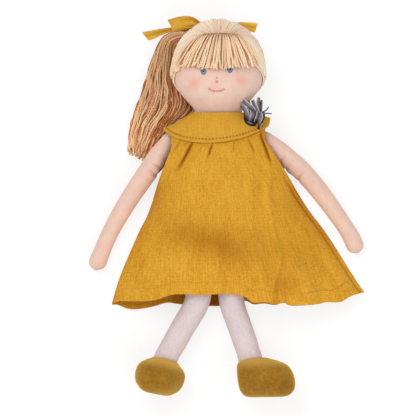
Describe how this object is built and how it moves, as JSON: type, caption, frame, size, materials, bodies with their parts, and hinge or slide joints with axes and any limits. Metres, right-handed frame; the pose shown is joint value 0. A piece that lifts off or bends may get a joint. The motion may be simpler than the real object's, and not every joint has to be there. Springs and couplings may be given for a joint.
{
  "type": "rag doll",
  "caption": "Stuffed cloth rag doll lying on its back, with yarn hair, tied ponytail, gathered dress and stuffed shoes, and limbs that fold at their seams.",
  "frame": {"origin": "on the dress's flat back under the chest, the face that the doll lies on", "axes": "+Y along the body towards the crown, +Z out of the chest, +X towards the doll's left hand"},
  "size_m": [0.2727, 0.3824, 0.0762],
  "materials": {
    "skin_cloth": "brushed stretch knit",
    "fibre": "loose polyester fibre",
    "stocking": "smooth stretch knit",
    "velour": "short pile",
    "gauze": "crinkled woven cotton",
    "yarn": "twisted yarn",
    "tail_yarn": "twisted yarn",
    "felt": "frayed cloth strip",
    "thread": "embroidery thread",
    "eye_thread": "embroidery thread",
    "tape": "woven tape"
  },
  "bodies": {
    "lap": {"skirt_front": "gauze", "skirt_back": "gauze"},
    "torso": {"torso_skin": "skin_cloth", "torso_stuffing": "fibre", "bodice_front": "gauze", "bodice_back_right": "gauze", "bodice_back_left": "gauze", "closure_loop_tape": "tape", "closure_hook_tape": "tape", "collar": "gauze", "collar_piping": "gauze", "flower_base": "felt", "flower_petal_1": "felt", "flower_petal_2": "felt", "flower_petal_3": "felt", "flower_petal_4": "felt", "flower_petal_5": "felt", "flower_petal_6": "felt", "flower_petal_7": "felt", "flower_end_upper": "felt", "flower_end_lower": "felt"},
    "neck": {"neck": "skin_cloth"},
    "head": {"head_skin": "skin_cloth", "head_stuffing": "fibre", "right_eye": "eye_thread", "left_eye": "eye_thread", "nose": "thread", "mouth": "thread", "hair_cap": "yarn", "fringe": "yarn", "parting_stitch": "yarn", "hair_tie": "tape", "bow_knot": "gauze", "bow_loop_right": "gauze", "bow_loop_left": "gauze", "bow_tail_right": "gauze", "bow_tail_left": "gauze"},
    "ponytail": {"ponytail": "tail_yarn"},
    "right_upper_arm": {"right_upper_arm_skin": "skin_cloth", "right_upper_arm_stuffing": "fibre"},
    "right_forearm": {"right_forearm_skin": "skin_cloth", "right_forearm_stuffing": "fibre"},
    "right_leg": {"right_leg_skin": "stocking", "right_leg_stuffing": "fibre", "right_shoe_upper": "velour", "right_foot_stuffing": "fibre", "right_shoe_sole": "velour"},
    "left_upper_arm": {"left_upper_arm_skin": "skin_cloth", "left_upper_arm_stuffing": "fibre"},
    "left_forearm": {"left_forearm_skin": "skin_cloth", "left_forearm_stuffing": "fibre"},
    "left_leg": {"left_leg_skin": "stocking", "left_leg_stuffing": "fibre", "left_shoe_upper": "velour", "left_foot_stuffing": "fibre", "left_shoe_sole": "velour"}
  },
  "joints": [
    {"name": "hip_fold", "type": "hinge", "parent": "lap", "child": "torso", "pos_m": [0, -0.0635, 0.0272], "axis": [1, 0, 0], "range_deg": [0, 85], "deforming": ["bodice_front", "skirt_front"]},
    {"name": "neck_tilt", "type": "hinge", "parent": "torso", "child": "neck", "pos_m": [0, 0.05665, 0.0272], "axis": [0, 0, 1], "range_deg": [-12, 12]},
    {"name": "head_nod", "type": "hinge", "parent": "neck", "child": "head", "pos_m": [0.0015, 0.06795, 0.0372], "axis": [1, 0, 0], "range_deg": [0, 28], "deforming": ["collar"]},
    {"name": "ponytail_swing", "type": "hinge", "parent": "head", "child": "ponytail", "pos_m": [-0.0413, 0.1435, 0.025], "axis": [0, 0, -1], "range_deg": [0, 75], "deforming": ["ponytail"]},
    {"name": "right_shoulder", "type": "hinge", "parent": "torso", "child": "right_upper_arm", "pos_m": [-0.04879, 0.04, 0.027], "axis": [0, 0, -1], "range_deg": [-5, 60]},
    {"name": "right_elbow", "type": "hinge", "parent": "right_upper_arm", "child": "right_forearm", "pos_m": [-0.0733, 0.00226, 0.02662], "axis": [-0.8616, 0.5075, 0], "range_deg": [0, 105]},
    {"name": "left_shoulder", "type": "hinge", "parent": "torso", "child": "left_upper_arm", "pos_m": [0.04879, 0.04, 0.027], "axis": [0, 0, 1], "range_deg": [-5, 60]},
    {"name": "left_elbow", "type": "hinge", "parent": "left_upper_arm", "child": "left_forearm", "pos_m": [0.08143, 0.00902, 0.02662], "axis": [-0.7576, -0.6528, 0], "range_deg": [0, 105]},
    {"name": "right_leg_splay", "type": "hinge", "parent": "lap", "child": "right_leg", "pos_m": [-0.0185, -0.082, 0.025], "axis": [0, 0, -1], "range_deg": [-5, 15]},
    {"name": "left_leg_splay", "type": "hinge", "parent": "lap", "child": "left_leg", "pos_m": [0.015, -0.082, 0.025], "axis": [0, 0, 1], "range_deg": [-5, 15]}
  ]
}
